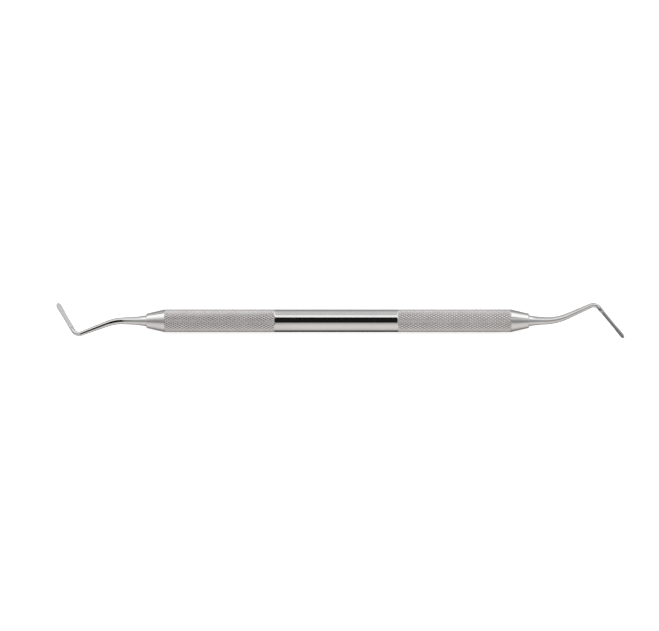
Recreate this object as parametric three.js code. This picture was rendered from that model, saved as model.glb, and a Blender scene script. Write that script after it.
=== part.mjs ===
// A double-ended gingival cord packer, in millimetres.
//
// X runs along the handle, Y lies across it and Z is up. The origin is on the surface that the
// handle rests on, under the middle of the handle. The instrument lies as a round handle does:
// rolled over until its bent tips all but touch the surface.
// The handle is a hollow tube. A plug with a conical nose closes each end, and each plug
// holds the tang of a one-piece working tip. Braze rings fill the grooves of the four joints.
// Every turned piece has the same number of flats, with one of them facing straight down, and
// the roll of the tips is a whole number of flats, so all flats line up.

import * as THREE from "three";

// Driving dimensions of the handle.
const FLATS = 24;
const TIP_ROLL = 2 * ((2 * Math.PI) / FLATS);
const BAND_RADIUS = 3.175;
const TUBE_LENGTH = 97.2;
const TUBE_WALL = 0.8;
const NOSE_LENGTH = 5.1;
const NOSE_RADIUS = 2.05;
const NOSE_EDGE = 0.22;

// Fits. Pressed and brazed faces keep a hairline between them.
const HAIRLINE = 0.02;
const CHAMFER = 0.3;

// The joints between tube and plug, and between plug and tip.
const SPIGOT_LENGTH = 12;
const SPIGOT_GROOVE_START = 1.6;
const SPIGOT_GROOVE_WIDTH = 0.8;
const SPIGOT_GROOVE_DEPTH = 0.35;
const TANG_RADIUS = 1;
const TANG_LENGTH = 9;
const DRILL_POINT = 0.6;
const TANG_RING_RADIUS = 1.35;
const TANG_RING_LENGTH = 0.7;

// The tips. The shank tapers towards the bend and flares where it leaves the plug.
const ROOT_RADIUS = 1.08;
const ROOT_FLARE = 0.46;
const FLARE_LENGTH = 2.4;
const SHANK_END_RADIUS = 0.56;
const BLADE_THICKNESS = 0.36;
const BLADE_WIDTH = 1.4;
const BLADE_ROUND = 1.15;
const FLATTENING_LENGTH = 2.2;
const WIDENING_START = 0.6;
const WIDENING_END = 0.82;
const BLADE_END_FLAT = 0.14;
const DEGREE = Math.PI / 180;
const FLAT_EDGE_ANGLE = 37.5 * DEGREE;

// How many straight steps each stretch of a tip is made of.
const STEPS = { root: 6, sweep: 6, shank: 3, bend: 8, flattening: 4, blade: 8, round: 6 };

const TIPS = {
  left: {
    straight: 6.3,
    sweepRadius: 12,
    sweepAngle: 23.9 * DEGREE,
    shankLength: 7.55,
    bendRadius: 1.8,
    bladeAngle: 61.6 * DEGREE,
    bladeLength: 10.2,
    bladeTwist: 0,
    neckWidth: 1.27,
    turn: Math.PI,
  },
  right: {
    straight: 4.47,
    sweepRadius: 14.3,
    sweepAngle: 27 * DEGREE,
    shankLength: 7.45,
    bendRadius: 1.7,
    bladeAngle: 55.8 * DEGREE,
    bladeLength: 11.95,
    bladeTwist: 70 * DEGREE,
    neckWidth: 1.2,
    turn: 0,
  },
};

// Places that follow from the driving dimensions. They are measured from mid-handle, outwards.
const BORE_RADIUS = BAND_RADIUS - TUBE_WALL;
const TUBE_END = TUBE_LENGTH / 2;
const NOSE_END = TUBE_END + NOSE_LENGTH;
const SPIGOT_RADIUS = BORE_RADIUS - HAIRLINE;
const SPIGOT_END = TUBE_END - SPIGOT_LENGTH;
const GROOVE_OUTER = TUBE_END - SPIGOT_GROOVE_START;
const GROOVE_INNER = GROOVE_OUTER - SPIGOT_GROOVE_WIDTH;
const GROOVE_RADIUS = SPIGOT_RADIUS - SPIGOT_GROOVE_DEPTH;
const TANG_BORE_RADIUS = TANG_RADIUS + HAIRLINE;

const knurledSteel = new THREE.MeshStandardMaterial({ color: 0xc6c4c1, roughness: 0.38, metalness: 1 });
const polishedSteel = new THREE.MeshStandardMaterial({ color: 0xd6d6d4, roughness: 0.12, metalness: 1 });
const tipSteel = new THREE.MeshStandardMaterial({ color: 0xbfc0c0, roughness: 0.22, metalness: 1 });
const brazeAlloy = new THREE.MeshStandardMaterial({ color: 0xd9c98f, roughness: 0.4, metalness: 1 });

// Turns a profile of [place along X, distance from the axis to a flat] about the X axis.
function turned(profile) {
  const cornerScale = 1 / Math.cos(Math.PI / FLATS);
  const points = profile.map(([along, radius]) => new THREE.Vector2(radius * cornerScale, along));
  return new THREE.LatheGeometry(points, FLATS, Math.PI / FLATS).rotateZ(-Math.PI / 2);
}

// A closed ring with a rectangular section.
function ring(start, end, innerRadius, outerRadius) {
  return turned([
    [start, innerRadius],
    [start, outerRadius],
    [end, outerRadius],
    [end, innerRadius],
    [start, innerRadius],
  ]);
}

function gripTube() {
  const lip = TUBE_END - CHAMFER;
  return turned([
    [-TUBE_END, BORE_RADIUS + CHAMFER],
    [-TUBE_END, BAND_RADIUS],
    [TUBE_END, BAND_RADIUS],
    [TUBE_END, BORE_RADIUS + CHAMFER],
    [lip, BORE_RADIUS],
    [-lip, BORE_RADIUS],
    [-TUBE_END, BORE_RADIUS + CHAMFER],
  ]);
}

// The plug: a spigot with a braze groove, a shoulder, a conical nose and a blind bore.
function endCone() {
  const shoulder = TUBE_END + HAIRLINE;
  const boreEnd = NOSE_END - TANG_LENGTH - HAIRLINE;
  const ringSeat = NOSE_END - TANG_RING_LENGTH;
  const edgePoints = 3;
  const roundedEdge = [];
  for (let i = 0; i <= edgePoints; i += 1) {
    const angle = (i / edgePoints) * (Math.PI / 2);
    const along = NOSE_END - NOSE_EDGE * (1 - Math.sin(angle));
    roundedEdge.push([along, NOSE_RADIUS - NOSE_EDGE * (1 - Math.cos(angle))]);
  }
  return turned([
    [SPIGOT_END, 0],
    [SPIGOT_END, SPIGOT_RADIUS - CHAMFER],
    [SPIGOT_END + CHAMFER, SPIGOT_RADIUS],
    [GROOVE_INNER, SPIGOT_RADIUS],
    [GROOVE_INNER, GROOVE_RADIUS],
    [GROOVE_OUTER, GROOVE_RADIUS],
    [GROOVE_OUTER, SPIGOT_RADIUS],
    [shoulder, SPIGOT_RADIUS],
    [shoulder, BAND_RADIUS],
    ...roundedEdge,
    [NOSE_END, TANG_RING_RADIUS],
    [ringSeat, TANG_RING_RADIUS],
    [ringSeat, TANG_BORE_RADIUS],
    [boreEnd, TANG_BORE_RADIUS],
    [boreEnd - DRILL_POINT, 0],
  ]);
}

function coneBrazeRing() {
  const start = GROOVE_INNER + HAIRLINE;
  const end = GROOVE_OUTER - HAIRLINE;
  return ring(start, end, GROOVE_RADIUS + HAIRLINE, SPIGOT_RADIUS);
}

function tipBrazeRing() {
  const start = NOSE_END - TANG_RING_LENGTH + HAIRLINE;
  return ring(start, NOSE_END, TANG_BORE_RADIUS, TANG_RING_RADIUS - HAIRLINE);
}

// The tip's centre line from the nose outwards, as a list of stations. A station has its place,
// the heading of the line, and how far along the line it is.
class CentreLine {
  constructor() {
    this.place = new THREE.Vector2(NOSE_END + HAIRLINE, 0);
    this.heading = 0;
    this.length = 0;
    this.stations = [this.station()];
  }

  station() {
    return { place: this.place.clone(), heading: this.heading, length: this.length };
  }

  straight(length, steps) {
    const start = this.place.clone();
    const direction = new THREE.Vector2(Math.cos(this.heading), Math.sin(this.heading));
    const startLength = this.length;
    for (let i = 1; i <= steps; i += 1) {
      const run = (length * i) / steps;
      this.place = start.clone().addScaledVector(direction, run);
      this.length = startLength + run;
      this.stations.push(this.station());
    }
  }

  // An arc that turns left by a positive angle and right by a negative one.
  arc(radius, angle, steps) {
    const chord = 2 * radius * Math.sin(Math.abs(angle) / steps / 2);
    for (let i = 0; i < steps; i += 1) {
      this.heading += angle / steps / 2;
      this.place.x += chord * Math.cos(this.heading);
      this.place.y += chord * Math.sin(this.heading);
      this.heading += angle / steps / 2;
      this.length += (radius * Math.abs(angle)) / steps;
      this.stations.push(this.station());
    }
  }
}

function centreLineOf(tip) {
  const line = new CentreLine();
  line.straight(tip.straight, STEPS.root);
  line.arc(tip.sweepRadius, tip.sweepAngle, STEPS.sweep);
  line.straight(tip.shankLength, STEPS.shank);
  line.arc(tip.bendRadius, -(tip.sweepAngle + tip.bladeAngle), STEPS.bend);
  const bladeStart = line.length;
  line.straight(FLATTENING_LENGTH, STEPS.flattening);
  line.straight(tip.bladeLength - FLATTENING_LENGTH - BLADE_ROUND, STEPS.blade);
  const roundStart = line.length;
  line.straight(BLADE_ROUND, STEPS.round);
  return { stations: line.stations, bladeStart, roundStart };
}

// Half width, half thickness, flatness (0 round, 1 flat) and twist of the tip at a station.
function sectionAt(tip, line, length) {
  if (length <= line.bladeStart) {
    const taper = length / line.bladeStart;
    const flare = ROOT_FLARE * Math.exp(-length / FLARE_LENGTH);
    const radius = THREE.MathUtils.lerp(ROOT_RADIUS, SHANK_END_RADIUS, taper) + flare;
    return { width: radius, thickness: radius, flatness: 0, twist: 0 };
  }
  const run = (length - line.bladeStart) / tip.bladeLength;
  const flattened = THREE.MathUtils.smoothstep(length - line.bladeStart, 0, FLATTENING_LENGTH);
  const widened = THREE.MathUtils.smoothstep(run, WIDENING_START, WIDENING_END);
  const neckWidth = THREE.MathUtils.lerp(SHANK_END_RADIUS, tip.neckWidth / 2, flattened);
  const fullWidth = THREE.MathUtils.lerp(neckWidth, BLADE_WIDTH / 2, widened);
  const pastRound = THREE.MathUtils.clamp((length - line.roundStart) / BLADE_ROUND, 0, 1);
  return {
    width: fullWidth * Math.max(BLADE_END_FLAT, Math.sqrt(1 - pastRound ** 2)),
    thickness: THREE.MathUtils.lerp(SHANK_END_RADIUS, BLADE_THICKNESS / 2, flattened),
    flatness: flattened,
    twist: tip.bladeTwist * flattened,
  };
}

// A tip as one solid: each ring of an upright cylinder is moved to its station and reshaped.
function workingTip(tip) {
  const line = centreLineOf(tip);
  const tang = { width: TANG_RADIUS, thickness: TANG_RADIUS, flatness: 0, twist: 0 };
  const tangStart = new THREE.Vector2(NOSE_END - TANG_LENGTH + HAIRLINE, 0);
  const rings = [
    { place: tangStart, heading: 0, section: tang },
    { place: line.stations[0].place, heading: 0, section: tang },
    ...line.stations.map(({ place, heading, length }) => {
      return { place, heading, section: sectionAt(tip, line, length) };
    }),
  ];
  const steps = rings.length - 1;
  const geometry = new THREE.CylinderGeometry(1, 1, steps, FLATS, steps, false, Math.PI / FLATS);
  const position = geometry.getAttribute("position");
  const cornerScale = 1 / Math.cos(Math.PI / FLATS);
  const flatLimit = Math.sin(FLAT_EDGE_ANGLE);
  for (let i = 0; i < position.count; i += 1) {
    const { place, heading, section } = rings[Math.round(steps / 2 - position.getY(i))];
    const across = position.getZ(i) * cornerScale;
    const over = -position.getX(i) * cornerScale;
    const levelled = THREE.MathUtils.clamp(-position.getX(i) / flatLimit, -1, 1);
    const u = section.width * across;
    const v = section.thickness * THREE.MathUtils.lerp(over, levelled, section.flatness);
    const sideways = u * Math.cos(section.twist) - v * Math.sin(section.twist);
    const upwards = u * Math.sin(section.twist) + v * Math.cos(section.twist);
    position.setXYZ(
      i,
      place.x - sideways * Math.sin(heading),
      place.y + sideways * Math.cos(heading),
      upwards,
    );
  }
  return geometry;
}

function named(name, geometry, material) {
  const mesh = new THREE.Mesh(geometry, material);
  mesh.name = name;
  return mesh;
}

const group = new THREE.Group();
group.position.z = BAND_RADIUS;
group.add(named("grip_tube", gripTube(), knurledSteel));

const rolled = new THREE.Group();
rolled.rotation.x = -TIP_ROLL;
group.add(rolled);

for (const [side, tip] of Object.entries(TIPS)) {
  const end = new THREE.Group();
  end.rotation.z = tip.turn;
  end.add(
    named(`${side}_end_cone`, endCone(), polishedSteel),
    named(`${side}_cone_braze_ring`, coneBrazeRing(), brazeAlloy),
    named(`${side}_tip`, workingTip(tip), tipSteel),
    named(`${side}_tip_braze_ring`, tipBrazeRing(), brazeAlloy),
  );
  rolled.add(end);
}

export default group;
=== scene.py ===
"""The looks of a double-ended gingival cord packer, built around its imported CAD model.

Shapes are worked out in millimetres, with X along the handle and the origin on the handle's
axis, and become metres when a piece is made. Every piece made here carries the attribute
"straight": the place of each point on the unbent piece, in millimetres, so finishing lines follow
the shape. The braze rings keep their CAD meshes. The studio is in metres.
"""

import math

import bpy
from mathutils import Matrix, Vector


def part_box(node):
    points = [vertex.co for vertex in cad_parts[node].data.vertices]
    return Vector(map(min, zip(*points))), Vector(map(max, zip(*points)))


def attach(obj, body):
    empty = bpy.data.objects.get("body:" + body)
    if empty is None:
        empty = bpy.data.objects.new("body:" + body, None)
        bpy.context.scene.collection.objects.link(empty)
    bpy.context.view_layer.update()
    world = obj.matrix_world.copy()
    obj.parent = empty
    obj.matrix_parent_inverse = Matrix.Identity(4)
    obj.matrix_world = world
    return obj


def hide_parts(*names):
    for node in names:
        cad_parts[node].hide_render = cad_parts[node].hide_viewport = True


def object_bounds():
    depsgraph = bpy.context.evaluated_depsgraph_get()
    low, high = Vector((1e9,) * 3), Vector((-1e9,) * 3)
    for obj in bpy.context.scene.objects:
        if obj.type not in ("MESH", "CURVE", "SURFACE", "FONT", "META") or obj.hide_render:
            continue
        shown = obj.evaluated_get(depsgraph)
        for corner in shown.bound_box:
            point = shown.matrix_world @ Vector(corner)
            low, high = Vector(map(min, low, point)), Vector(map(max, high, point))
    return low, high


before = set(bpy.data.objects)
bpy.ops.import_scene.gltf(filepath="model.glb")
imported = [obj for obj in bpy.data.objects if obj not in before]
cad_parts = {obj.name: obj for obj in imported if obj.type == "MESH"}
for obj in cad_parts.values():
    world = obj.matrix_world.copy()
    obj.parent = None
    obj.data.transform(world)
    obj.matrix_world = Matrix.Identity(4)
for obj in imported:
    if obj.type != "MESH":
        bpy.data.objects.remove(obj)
cad_low, cad_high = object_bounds()

MM = 0.001

# The handle's driving dimensions, from the frame.
tube_low, tube_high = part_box("grip_tube")
plug_low, plug_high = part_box("right_end_cone")
AXIS_HEIGHT = (tube_low.z + tube_high.z) / 2
BAND_RADIUS = (tube_high.z - tube_low.z) / 2 / MM
TUBE_END = tube_high.x / MM
SPIGOT_END = plug_low.x / MM
NOSE_END = plug_high.x / MM

# The tube. The knurl is a grid of diamonds, with a whole number of grid steps to a diamond. Its
# grooves get shallower over the last rows of the grid, and a share of the grid is left as crests.
BAND_START = -17.55
BAND_END = 16.75
KNURL_STARTS = 24
KNURL_DIAMONDS = 25
KNURL_STEPS = 8
KNURL_DEPTH = 0.14
KNURL_RUN_OUT = 2
CREST_SHARE = 0.5
BORE_RADIUS = 2.39
BORE_CHAMFER = 0.3
TUBE_EDGE = 0.04
BAND_RINGS = 16
BAND_EDGE = 0.05

# The plugs.
PLUG_SIDES = 96
SPIGOT_RADIUS = 2.355
SPIGOT_CHAMFER = 0.3
GROOVE_RADIUS = 2.005
GROOVE_FROM_SHOULDER = 1.58
GROOVE_WIDTH = 0.8
SHOULDER_GAP = 0.02
NOSE_RADIUS = 2.05
NOSE_EDGE = 0.22
NOSE_EDGE_POINTS = 6
RING_SEAT_RADIUS = 1.35
RING_SEAT_DEPTH = 0.7
TANG_BORE_RADIUS = 1.02
TANG_BORE_DEPTH = 9.02
DRILL_POINT = 0.6

# The tips, rolled about the handle's axis so that they all but touch the surface. Widening is in
# shares of the blade's length. Satin is in millimetres past the bend, where it starts and is full.
# The blade's last ring keeps a small share of its size, and a point closes it.
TIP_ROLL = math.radians(30)
TIP_SIDES = 64
TANG_RADIUS = 1.0
TANG_LENGTH = 8.96
ROOT_RADIUS = 1.08
ROOT_FLARE = 0.46
FLARE_LENGTH = 2.4
SHANK_END_RADIUS = 0.56
BLADE_THICKNESS = 0.36
BLADE_WIDTH = 1.4
BLADE_ROUND = 1.15
FLATTENING_LENGTH = 2.2
WIDENING = (0.6, 0.82)
FLAT_EDGE_ANGLE = math.radians(22.5)
SATIN_START = (-1.0, 0.6)
LAST_RING_SHARE = 0.03
STRAIGHT_STEPS = 12
SWEEP_STEPS = 24
SHANK_STEPS = 10
BEND_STEPS = 28
BLADE_STEPS = 48
TIPS = {
    "left": {
        "straight": 6.3,
        "sweep_radius": 12,
        "sweep": math.radians(23.9),
        "shank": 7.55,
        "bend_radius": 1.8,
        "bend": math.radians(61.6),
        "blade": 10.2,
        "twist": 0,
        "neck_width": 1.27,
        "turn": math.pi,
    },
    "right": {
        "straight": 4.47,
        "sweep_radius": 14.3,
        "sweep": math.radians(27),
        "shank": 7.45,
        "bend_radius": 1.7,
        "bend": math.radians(55.8),
        "blade": 11.95,
        "twist": math.radians(70),
        "neck_width": 1.2,
        "turn": 0,
    },
}

# Edges sharper than this shade as edges. The knurl's are worn round, so they shade as curves.
SHARP_ANGLE = math.radians(20)
KNURL_SHARP_ANGLE = math.radians(75)


def lerp(a, b, share):
    return a + (b - a) * share


def smoothstep(low, high, value):
    share = min(1.0, max(0.0, (value - low) / (high - low)))
    return share * share * (3 - 2 * share)


# Meshes.


def strip(first, second):
    """Faces between two rings of vertex numbers. A ring of one number is a pole."""
    count = max(len(first), len(second))
    faces = []
    for j in range(count):
        k = j + 1
        corners = (
            first[j % len(first)],
            second[j % len(second)],
            second[k % len(second)],
            first[k % len(first)],
        )
        faces.append(tuple(dict.fromkeys(corners)))
    return faces


def ring(along, radius, sides):
    """A ring of points about the X axis, or one point where the radius is 0."""
    if radius == 0:
        return [Vector((along, 0, 0))]
    angles = [2 * math.pi * j / sides for j in range(sides)]
    return [Vector((along, radius * math.sin(a), radius * math.cos(a))) for a in angles]


def numbered(rings):
    """The rings as lists of vertex numbers, counted from the first ring on."""
    numbers, start = [], 0
    for points in rings:
        numbers.append(range(start, start + len(points)))
        start += len(points)
    return numbers


def set_attribute(piece, name, values):
    """Gives each point of a piece a number that its material reads."""
    attribute = piece.data.attributes.new(name, "FLOAT", "POINT")
    attribute.data.foreach_set("value", values)


def make_piece(name, points, faces, straight, material):
    """A mesh object on the handle's axis that rides on the instrument's one body."""
    mesh = bpy.data.meshes.new(name)
    mesh.from_pydata([p * MM for p in points], [], faces)
    attribute = mesh.attributes.new("straight", "FLOAT_VECTOR", "POINT")
    attribute.data.foreach_set("vector", [value for p in straight for value in p])
    mesh.materials.append(material)
    mesh.shade_smooth()
    mesh.set_sharp_from_angle(angle=SHARP_ANGLE)
    piece = bpy.data.objects.new(name, mesh)
    bpy.context.scene.collection.objects.link(piece)
    piece.location.z = AXIS_HEIGHT
    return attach(piece, "root")


# The handle tube.

KNURL_SIDES = KNURL_STARTS * KNURL_STEPS
KNURL_ROWS = KNURL_DIAMONDS * KNURL_STEPS

# The numbers of the tube's two materials.
KNURLED, POLISHED = 0, 1


def groove_depth(step):
    """How deep a V groove is, from 0 to 1, at a grid step across it. The bottom is at step 0."""
    from_bottom = abs((step + KNURL_STEPS / 2) % KNURL_STEPS - KNURL_STEPS / 2)
    half_groove = KNURL_STEPS * (1 - CREST_SHARE) / 2
    return max(0.0, 1 - from_bottom / half_groove)


def knurl_row(row):
    """Depths from 0 to 1 around one row. Grooves run out at the band, and end half deep outside."""
    end_share = min(1.0, row / KNURL_RUN_OUT, (KNURL_ROWS - row + 1) / KNURL_RUN_OUT)
    depths = []
    for j in range(KNURL_SIDES):
        depths.append(end_share * max(groove_depth(j + row), groove_depth(j - row)))
    return depths


def knurl_split(row, j, quad):
    """A grid square as two triangles, folded along the deeper of its two grooves."""
    a, b, c, d = quad
    if groove_depth(j + row + 1) >= groove_depth(j - row):
        return [(a, b, d), (b, c, d)]
    return [(a, b, c), (a, c, d)]


def make_tube(knurled, polished):
    """The handle's tube, as one closed strip of rings: outside, end faces and bore."""
    no_cut = [0.0] * KNURL_SIDES
    lip = TUBE_END - BORE_CHAMFER

    # One entry per ring: place along X, radius, depths, and the knurl row or None.
    rings = [(-TUBE_END, BORE_RADIUS + BORE_CHAMFER, no_cut, None)]
    for row in range(KNURL_ROWS, -1, -1):
        along = lerp(BAND_START, -TUBE_END, row / KNURL_ROWS)
        rings.append((along, BAND_RADIUS, knurl_row(row), row))
    for i in range(BAND_RINGS):
        along = lerp(BAND_START + BAND_EDGE, BAND_END - BAND_EDGE, i / (BAND_RINGS - 1))
        rings.append((along, BAND_RADIUS, no_cut, None))
    for row in range(KNURL_ROWS + 1):
        along = lerp(BAND_END, TUBE_END, row / KNURL_ROWS)
        rings.append((along, BAND_RADIUS, knurl_row(row), row))
    rings.append((TUBE_END, BORE_RADIUS + BORE_CHAMFER, no_cut, None))
    rings.append((lip, BORE_RADIUS, no_cut, None))
    rings.append((-lip, BORE_RADIUS, no_cut, None))

    points, grooves = [], []
    for along, radius, depths, _ in rings:
        for j, depth in enumerate(depths):
            angle = 2 * math.pi * j / KNURL_SIDES
            cut = radius - KNURL_DEPTH * depth
            points.append(Vector((along, cut * math.sin(angle), cut * math.cos(angle))))
            grooves.append(depth)

    faces, face_materials = [], []
    numbers = [range(i * KNURL_SIDES, (i + 1) * KNURL_SIDES) for i in range(len(rings))]
    for i, first in enumerate(numbers):
        second = numbers[(i + 1) % len(rings)]
        row, next_row = rings[i][3], rings[(i + 1) % len(rings)][3]
        quads = strip(first, second)
        if row is None or next_row is None:
            faces += quads
            face_materials += [POLISHED] * len(quads)
            continue
        for j, quad in enumerate(quads):
            if next_row > row:
                faces += knurl_split(row, j, quad)
            else:
                a, b, c, d = quad
                faces += [t[::-1] for t in knurl_split(next_row, j, (b, a, d, c))]
            face_materials += [KNURLED, KNURLED]

    tube = make_piece("handle_tube", points, faces, points, knurled)
    tube.data.materials.append(polished)
    tube.data.polygons.foreach_set("material_index", face_materials)
    tube.data.set_sharp_from_angle(angle=KNURL_SHARP_ANGLE)
    # The groove depth also darkens the knurl's colour, as painted shade in the grooves, and roughens it.
    set_attribute(tube, "groove", grooves)
    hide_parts("grip_tube")


# The plugs with conical noses.


def plug_profile():
    """Places along X and radii of a plug, from the spigot's end round to the end of its bore."""
    shoulder = TUBE_END + SHOULDER_GAP
    groove_end = shoulder - GROOVE_FROM_SHOULDER - SHOULDER_GAP
    groove_start = groove_end - GROOVE_WIDTH
    profile = [
        (SPIGOT_END, 0),
        (SPIGOT_END, SPIGOT_RADIUS - SPIGOT_CHAMFER),
        (SPIGOT_END + SPIGOT_CHAMFER, SPIGOT_RADIUS),
        (groove_start, SPIGOT_RADIUS),
        (groove_start, GROOVE_RADIUS),
        (groove_end, GROOVE_RADIUS),
        (groove_end, SPIGOT_RADIUS),
        (shoulder, SPIGOT_RADIUS),
        (shoulder, BAND_RADIUS - TUBE_EDGE),
        (shoulder + TUBE_EDGE, BAND_RADIUS),
    ]
    for i in range(NOSE_EDGE_POINTS + 1):
        angle = math.pi / 2 * i / NOSE_EDGE_POINTS
        along = NOSE_END - NOSE_EDGE * (1 - math.sin(angle))
        profile.append((along, NOSE_RADIUS - NOSE_EDGE * (1 - math.cos(angle))))
    bore_end = NOSE_END - TANG_BORE_DEPTH
    return profile + [
        (NOSE_END, RING_SEAT_RADIUS),
        (NOSE_END - RING_SEAT_DEPTH, RING_SEAT_RADIUS),
        (NOSE_END - RING_SEAT_DEPTH, TANG_BORE_RADIUS),
        (bore_end, TANG_BORE_RADIUS),
        (bore_end - DRILL_POINT, 0),
    ]


def make_plug(side, material):
    """A plug turned from its profile, at its end of the handle."""
    rings = [ring(along, radius, PLUG_SIDES) for along, radius in plug_profile()]
    numbers = numbered(rings)
    faces = [f for first, second in zip(numbers, numbers[1:]) for f in strip(first, second)]
    straight = [p for points in rings for p in points]
    turn = Matrix.Rotation(TIPS[side]["turn"], 3, "Z")
    points = [turn @ p for p in straight]
    plug = make_piece(f"{side}_nose_plug", points, faces, straight, material)
    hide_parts(f"{side}_end_cone")


# The working tips.


def stretches(tip):
    """The tip's centre line as (length, angle turned through, steps) of straights and arcs."""
    bend = tip["sweep"] + tip["bend"]
    return [
        (tip["straight"], 0, STRAIGHT_STEPS),
        (tip["sweep_radius"] * tip["sweep"], tip["sweep"], SWEEP_STEPS),
        (tip["shank"], 0, SHANK_STEPS),
        (tip["bend_radius"] * bend, -bend, BEND_STEPS),
        (tip["blade"], 0, BLADE_STEPS),
    ]


def place_on(line, length):
    """The place and heading at a length along a line of straights and arcs."""
    x, y, heading = NOSE_END + SHOULDER_GAP, 0.0, 0.0
    for stretch, turn, _ in line:
        run = min(length, stretch)
        if turn:
            radius = stretch / turn
            ahead = heading + turn * run / stretch
            x += radius * (math.sin(ahead) - math.sin(heading))
            y -= radius * (math.cos(ahead) - math.cos(heading))
            heading = ahead
        else:
            x += run * math.cos(heading)
            y += run * math.sin(heading)
        length -= run
        if length <= 0:
            break
    return x, y, heading


def station_lengths(line):
    """Lengths along the line to put rings at, closer together towards the blade's rounded end."""
    lengths, start = [0.0], 0.0
    for stretch, _, steps in line[:-1]:
        lengths += [start + stretch * i / steps for i in range(1, steps + 1)]
        start += stretch
    blade, _, steps = line[-1]
    flat_steps = steps * 2 // 3
    round_steps = steps - flat_steps
    flat = blade - BLADE_ROUND
    lengths += [start + flat * i / flat_steps for i in range(1, flat_steps + 1)]
    for i in range(1, round_steps + 1):
        lengths.append(start + flat + BLADE_ROUND * math.sin(math.pi / 2 * i / round_steps))
    return lengths


def flatness(past_bend):
    """0 where the tip is round, 1 where its two flats are fully ground."""
    return smoothstep(0, FLATTENING_LENGTH, past_bend)


def half_section(tip, past_bend, length, blade_start):
    """Half width, half height of the full oval, half thickness left by the flats, and twist."""
    if past_bend <= 0:
        radius = lerp(ROOT_RADIUS, SHANK_END_RADIUS, length / blade_start)
        radius += ROOT_FLARE * math.exp(-length / FLARE_LENGTH)
        return radius, radius, radius, 0.0
    flattened = flatness(past_bend)
    widened = smoothstep(*WIDENING, past_bend / tip["blade"])
    width = lerp(SHANK_END_RADIUS, tip["neck_width"] / 2, flattened)
    width = lerp(width, BLADE_WIDTH / 2, widened)
    thickness = lerp(SHANK_END_RADIUS, BLADE_THICKNESS / 2, flattened)
    oval = lerp(SHANK_END_RADIUS, BLADE_THICKNESS / 2 / math.sin(FLAT_EDGE_ANGLE), flattened)
    to_end = max(0.0, tip["blade"] - past_bend)
    rounded = math.sqrt(max(0.0, 1 - max(0.0, 1 - to_end / BLADE_ROUND) ** 2))
    edge = math.sqrt(max(0.0, 1 - max(0.0, 1 - 2 * to_end / BLADE_THICKNESS) ** 2))
    edge = max(LAST_RING_SHARE, edge)
    width *= max(LAST_RING_SHARE, rounded)
    return width, oval * edge, thickness * edge, tip["twist"] * flattened


def section_points(x, y, heading, half_width, oval, half_thickness, twist):
    """The section's points at a place on the centre line, and the same points unbent."""
    bent, unbent = [], []
    for j in range(TIP_SIDES):
        angle = 2 * math.pi * j / TIP_SIDES
        u = half_width * math.sin(angle)
        v = min(half_thickness, max(-half_thickness, oval * math.cos(angle)))
        sideways = u * math.cos(twist) - v * math.sin(twist)
        upwards = u * math.sin(twist) + v * math.cos(twist)
        aside = (-sideways * math.sin(heading), sideways * math.cos(heading))
        bent.append(Vector((x + aside[0], y + aside[1], upwards)))
        unbent.append((u, v))
    return bent, unbent


def make_tip(side, material):
    """A working tip: its tang, then rings along the bent centre line to the blade's end."""
    tip = TIPS[side]
    line = stretches(tip)
    lengths = station_lengths(line)
    blade_start = sum(stretch for stretch, _, _ in line[:-1])
    roll = Matrix.Rotation(-TIP_ROLL, 3, "X") @ Matrix.Rotation(tip["turn"], 3, "Z")

    tang_end = NOSE_END - TANG_LENGTH
    rings = [ring(tang_end, 0, TIP_SIDES)]
    rings += [ring(x, TANG_RADIUS, TIP_SIDES) for x in (tang_end, NOSE_END + SHOULDER_GAP)]
    straight = [p for points in rings for p in points]
    satin = [0.0] * len(straight)
    for length in lengths:
        section = half_section(tip, length - blade_start, length, blade_start)
        bent, unbent = section_points(*place_on(line, length), *section)
        rings.append(bent)
        straight += [Vector((NOSE_END + length, u, v)) for u, v in unbent]
        satin += [smoothstep(*SATIN_START, length - blade_start)] * TIP_SIDES
    end = sum(rings[-1], Vector()) / TIP_SIDES
    rings.append([end])
    straight.append(Vector((NOSE_END + lengths[-1], 0, 0)))
    satin.append(1.0)

    numbers = numbered(rings)
    faces = [f for first, second in zip(numbers, numbers[1:]) for f in strip(first, second)]
    points = [roll @ p for ring_points in rings for p in ring_points]
    piece = make_piece(f"{side}_working_tip", points, faces, straight, material)
    set_attribute(piece, "satin", satin)
    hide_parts(f"{side}_tip")


# Materials.


def add_node(tree, kind, inputs=None, **settings):
    """A node with its settings, and its inputs set to values or linked to sockets."""
    node = tree.nodes.new(kind)
    for key, value in settings.items():
        setattr(node, key, value)
    for key, value in (inputs or {}).items():
        if isinstance(value, bpy.types.NodeSocket):
            tree.links.new(value, node.inputs[key])
        else:
            node.inputs[key].default_value = value
    return node


def new_material(name):
    material = bpy.data.materials.new(name)
    material.use_nodes = True
    material.node_tree.nodes.clear()
    return material, material.node_tree


def lines_and_blotches(tree, lines_per_mm, blotch_size):
    """Two noises from 0 to 1 on the unbent piece: fine finishing lines, and soft blotches."""
    place = add_node(tree, "ShaderNodeAttribute", attribute_name="straight").outputs["Vector"]
    stretched = add_node(tree, "ShaderNodeVectorMath", {0: place, 1: lines_per_mm}, operation="MULTIPLY")
    lines = add_node(
        tree,
        "ShaderNodeTexNoise",
        {"Vector": stretched.outputs[0], "Scale": 1.0, "Detail": 3.0, "Roughness": 0.6},
    )
    blotches = add_node(
        tree,
        "ShaderNodeTexNoise",
        {"Vector": place, "Scale": 1 / blotch_size, "Detail": 4.0, "Roughness": 0.55},
    )
    return lines.outputs["Fac"], blotches.outputs["Fac"]


def map_range(tree, value, low, high):
    """A noise's usual spread, about 0.3 to 0.7, moved to low and high."""
    inputs = {"Value": value, "From Min": 0.3, "From Max": 0.7, "To Min": low, "To Max": high}
    return add_node(tree, "ShaderNodeMapRange", inputs).outputs["Result"]


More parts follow.
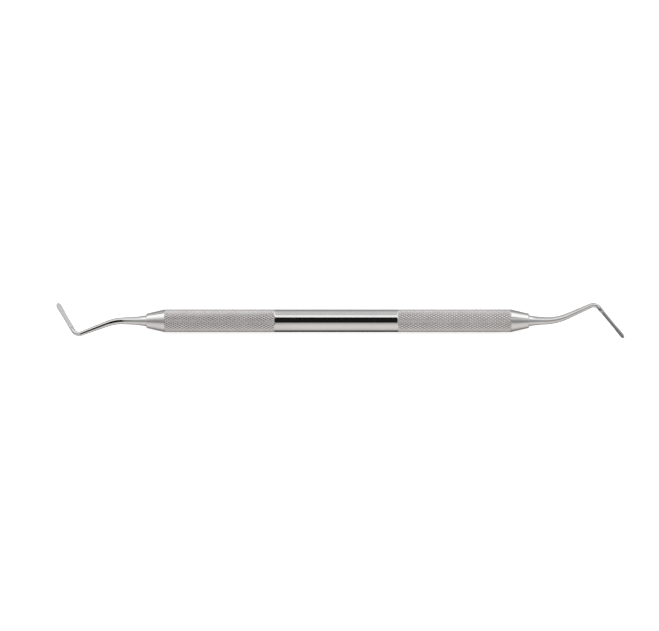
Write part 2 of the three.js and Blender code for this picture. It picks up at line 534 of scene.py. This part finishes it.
def mix_colours(tree, share, first, second):
    inputs = {0: share, 6: first, 7: second}
    return add_node(tree, "ShaderNodeMix", inputs, data_type="RGBA").outputs[2]


def steel(name, colour, dull_colour, roughness, lines_per_mm, blotch_size, relief, second=None):
    """Metal with fine finishing lines. Its second colour, with added roughness, goes by an attribute if
    it has one: the satin of the tips' ground blades, and painted shade in the knurl's grooves.
    """
    material, tree = new_material(name)
    lines, blotches = lines_and_blotches(tree, lines_per_mm, blotch_size)
    base = mix_colours(tree, map_range(tree, blotches, 0.0, 1.0), colour, dull_colour)
    both = add_node(tree, "ShaderNodeMath", {0: lines, 1: blotches}, operation="ADD").outputs[0]
    mean = add_node(tree, "ShaderNodeMath", {0: both, 1: 0.5}, operation="MULTIPLY").outputs[0]
    rough = map_range(tree, mean, *roughness)
    if second:
        # On the knurl this second colour is painted shade, deeper where the grooves are deeper. On the
        # tips it is the satin of their blades.
        share = add_node(tree, "ShaderNodeAttribute", attribute_name=second["attribute"]).outputs["Fac"]
        base = mix_colours(tree, share, base, second["colour"])
        rough = add_node(
            tree,
            "ShaderNodeMath",
            {0: share, 1: second["added_roughness"], 2: rough},
            operation="MULTIPLY_ADD",
        ).outputs[0]
    bump = add_node(
        tree, "ShaderNodeBump", {"Height": lines, "Strength": 1.0, "Distance": relief * MM}
    )
    shader = add_node(
        tree,
        "ShaderNodeBsdfPrincipled",
        {
            "Base Color": base,
            "Metallic": 1.0,
            "Roughness": rough,
            "Normal": bump.outputs["Normal"],
        },
    )
    add_node(tree, "ShaderNodeOutputMaterial", {"Surface": shader.outputs[0]})
    return material


def grey(value, warmth=0.0):
    """An opaque grey, with a little more red and a little less blue as warmth goes up."""
    return (value * (1 + warmth), value, value * (1 - warmth / 2), 1.0)


knurled_steel = steel(
    "knurled_steel",
    colour=grey(0.90, 0.02),
    dull_colour=grey(0.80, 0.03),
    roughness=(0.05, 0.11),
    lines_per_mm=(6, 6, 6),
    blotch_size=4.0,
    relief=0.002,
    # Painted shade: the knurl is coloured darker where its grooves are deeper.
    second={"attribute": "groove", "colour": grey(0.56, 0.035), "added_roughness": 0.15},
)
polished_steel = steel(
    "polished_steel",
    colour=grey(0.82, 0.004),
    dull_colour=grey(0.77, 0.008),
    roughness=(0.05, 0.10),
    lines_per_mm=(14, 0.5, 0.5),
    blotch_size=6.0,
    relief=0.0006,
)
tip_steel = steel(
    "tip_steel",
    colour=grey(0.80, 0.004),
    dull_colour=grey(0.74, 0.008),
    roughness=(0.05, 0.11),
    lines_per_mm=(0.8, 10, 10),
    blotch_size=3.0,
    relief=0.0006,
    second={"attribute": "satin", "colour": grey(0.57, 0.0), "added_roughness": 0.14},
)
braze_alloy = steel(
    "braze_alloy",
    colour=(0.80, 0.66, 0.36, 1.0),
    dull_colour=(0.62, 0.47, 0.24, 1.0),
    roughness=(0.30, 0.45),
    lines_per_mm=(5, 5, 5),
    blotch_size=1.0,
    relief=0.004,
)


# The object.

make_tube(knurled_steel, polished_steel)
for side in TIPS:
    make_plug(side, polished_steel)
    make_tip(side, tip_steel)
    for joint in ("cone", "tip"):
        braze_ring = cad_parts[f"{side}_{joint}_braze_ring"]
        braze_ring.data.materials.clear()
        braze_ring.data.materials.append(braze_alloy)


# The studio. The metal shows bands of light that run along the handle, given as degrees from
# straight up towards +Y and brightness. Those on the side towards -Y are a little warmer.

STUDIO_STRENGTH = 1.3
STUDIO_BANDS = [
    (-180, 0.10),
    (-145, 0.17),
    (-118, 0.24),
    (-100, 0.46),
    (-85, 0.55),
    (-60, 0.57),
    (-45, 0.54),
    (-33, 0.43),
    (-20, 0.27),
    (-8, 0.20),
    (4, 0.27),
    (16, 0.41),
    (28, 0.54),
    (40, 0.77),
    (53, 0.92),
    (82, 0.97),
    (99, 0.60),
    (115, 0.33),
    (140, 0.23),
    (180, 0.10),
]
NEAR_SIDE_WARMTH = 0.036
SURROUND = 0.97

# Cards that only reflections show, in metres. The flag over the band is given by the angles from
# straight up that it covers, and the one over the left shank by its place. The panels stand beside
# the handle, each with its stretch along X, its bottom and top, and its brightness. The shade is a
# dark strip just above the floor, on the side towards -Y. It is a painted shadow: it stands in for
# the floor's shadow under the handle where the metal's lower edges reflect it.
CARD_DISTANCE = 0.155
FLAG_HALF_LENGTH = 0.038
FLAG_ANGLES = (math.radians(-18.9), math.radians(35))
SHANK_FLAG_SPAN = (-0.0705, -0.03)
SHANK_FLAG_WIDTH = (-0.057, 0.073)
SHANK_FLAG_HEIGHT = 0.08
FLAG_BRIGHTNESS = 0.01
PANEL_HEIGHTS = (-0.03, 0.106)
PANELS = [
    ("left panel", (-0.1, -0.065), PANEL_HEIGHTS, 0.82),
    ("low left panel", (-0.16, -0.1), (-0.03, 0.02), 0.5),
    ("middle panel", (-0.025, 0.025), PANEL_HEIGHTS, 0.64),
    ("right panel", (0.05, 0.1), PANEL_HEIGHTS, 0.6),
    ("right blade panel", (0.127, 0.165), (-0.02, 0.055), 0.28),
    ("left blade panel", (0.165, 0.26), (-0.02, 0.25), 0.30),
]
SHADE_WIDTH = 0.0115
SHADE_HEIGHT = 0.02 * MM
SHADE_BRIGHTNESS = 0.04

FLOOR_SIZE = 6.0
FLOOR_COLOUR = 0.9
FLOOR_GLOW = 0.45
KEY_STRENGTH = 1.2
KEY_SPREAD = math.radians(120)


def make_world():
    world = bpy.data.worlds.new("studio")
    world.use_nodes = True
    tree = world.node_tree
    tree.nodes.clear()
    place = add_node(tree, "ShaderNodeTexCoord").outputs["Generated"]
    axes = add_node(tree, "ShaderNodeSeparateXYZ", {0: place}).outputs
    angle = add_node(tree, "ShaderNodeMath", {0: axes["Y"], 1: axes["Z"]}, operation="ARCTAN2")
    inputs = {"Value": angle.outputs[0], "From Min": -math.pi, "From Max": math.pi}
    share = add_node(tree, "ShaderNodeMapRange", inputs).outputs["Result"]
    bands = add_node(tree, "ShaderNodeValToRGB", {"Fac": share})
    elements = bands.color_ramp.elements
    elements.remove(elements[1])
    for i, (degrees, brightness) in enumerate(STUDIO_BANDS):
        position = degrees / 360 + 0.5
        element = elements[0] if i == 0 else elements.new(position)
        element.position = position
        element.color = grey(brightness, NEAR_SIDE_WARMTH if degrees < 0 else 0.0)
    studio = add_node(
        tree,
        "ShaderNodeBackground",
        {"Color": bands.outputs["Color"], "Strength": STUDIO_STRENGTH},
    )
    surround = add_node(tree, "ShaderNodeBackground", {"Color": grey(SURROUND)})
    seen = add_node(tree, "ShaderNodeLightPath").outputs["Is Camera Ray"]
    mixed = add_node(
        tree, "ShaderNodeMixShader", {0: seen, 1: studio.outputs[0], 2: surround.outputs[0]}
    )
    add_node(tree, "ShaderNodeOutputWorld", {"Surface": mixed.outputs[0]})
    bpy.context.scene.world = world


def make_stage_mesh(name, corners, material):
    mesh = bpy.data.meshes.new(name)
    mesh.from_pydata(corners, [], [range(len(corners))])
    mesh.materials.append(material)
    staged = bpy.data.objects.new(name, mesh)
    bpy.context.scene.collection.objects.link(staged)
    return staged


def emission_material(name, brightness):
    material, tree = new_material(name)
    light = add_node(tree, "ShaderNodeEmission", {"Color": grey(brightness)})
    add_node(tree, "ShaderNodeOutputMaterial", {"Surface": light.outputs[0]})
    return material


def make_card(name, corners, brightness):
    """A card that only the metal's reflections show."""
    card = make_stage_mesh(name, corners, emission_material(name, brightness))
    card.visible_camera = False
    card.visible_diffuse = False
    card.visible_shadow = False
    card.visible_transmission = False
    card.visible_volume_scatter = False


def make_level_card(name, span, width, height, brightness):
    """A level card, from its stretches along X and Y and its height."""
    left, right = span
    near, far = width
    corners = [(left, near, height), (right, near, height), (right, far, height), (left, far, height)]
    make_card(name, corners, brightness)


def make_upright_card(name, span, heights, brightness):
    """A card that stands beside the handle, from its stretch along X, its bottom and its top."""
    left, right = span
    bottom, top = heights
    y = CARD_DISTANCE
    corners = [(left, y, bottom), (right, y, bottom), (right, y, top), (left, y, top)]
    make_card(name, corners, brightness)


def make_cards():
    """Black flags over the band and the left shank, panels beside them, and a dark strip underneath as a
    painted shadow.
    """
    flag_span = (-FLAG_HALF_LENGTH, FLAG_HALF_LENGTH)
    flag_width = [CARD_DISTANCE * math.tan(angle) for angle in FLAG_ANGLES]
    flag_height = AXIS_HEIGHT + CARD_DISTANCE
    make_level_card("flag", flag_span, flag_width, flag_height, FLAG_BRIGHTNESS)
    for panel in PANELS:
        make_upright_card(*panel)
    make_level_card(
        "shank flag", SHANK_FLAG_SPAN, SHANK_FLAG_WIDTH, SHANK_FLAG_HEIGHT, FLAG_BRIGHTNESS
    )
    shade_span = (-tube_high.x, tube_high.x)
    # Painted shadow: this dark strip stands in for the floor's shadow under the handle, as the metal's
    # lower edges reflect it.
    make_level_card("shade", shade_span, (-SHADE_WIDTH, 0), SHADE_HEIGHT, SHADE_BRIGHTNESS)


def make_floor():
    """A pale floor that glows a little, so shadows on it stay faint."""
    material, tree = new_material("floor")
    diffuse = add_node(tree, "ShaderNodeBsdfDiffuse", {"Color": grey(FLOOR_COLOUR)})
    glow = add_node(tree, "ShaderNodeEmission", {"Color": grey(FLOOR_GLOW)})
    both = add_node(tree, "ShaderNodeAddShader", {0: diffuse.outputs[0], 1: glow.outputs[0]})
    add_node(tree, "ShaderNodeOutputMaterial", {"Surface": both.outputs[0]})
    half = FLOOR_SIZE / 2
    corners = [(-half, -half, 0), (half, -half, 0), (half, half, 0), (-half, half, 0)]
    floor = make_stage_mesh("floor", corners, material)
    floor.visible_glossy = False


def make_key_light():
    light = bpy.data.lights.new("key", "SUN")
    light.energy = KEY_STRENGTH
    light.angle = KEY_SPREAD
    key = bpy.data.objects.new("key", light)
    key.visible_glossy = False
    bpy.context.scene.collection.objects.link(key)


# The camera looks straight down through a long lens.

VIEW_WIDTH = 1.16 * (cad_high.x - cad_low.x)
CAMERA_HEIGHT = 1.0
CAMERA_ASIDE = (-2.29 * MM, 1.49 * MM)


def make_camera():
    camera_data = bpy.data.cameras.new("camera")
    camera_data.lens = camera_data.sensor_width * CAMERA_HEIGHT / VIEW_WIDTH
    camera = bpy.data.objects.new("camera", camera_data)
    camera.location = (*CAMERA_ASIDE, AXIS_HEIGHT + CAMERA_HEIGHT)
    bpy.context.scene.collection.objects.link(camera)
    bpy.context.scene.camera = camera


make_world()
make_cards()
make_floor()
make_key_light()
make_camera()
bpy.context.scene.view_settings.view_transform = "Standard"
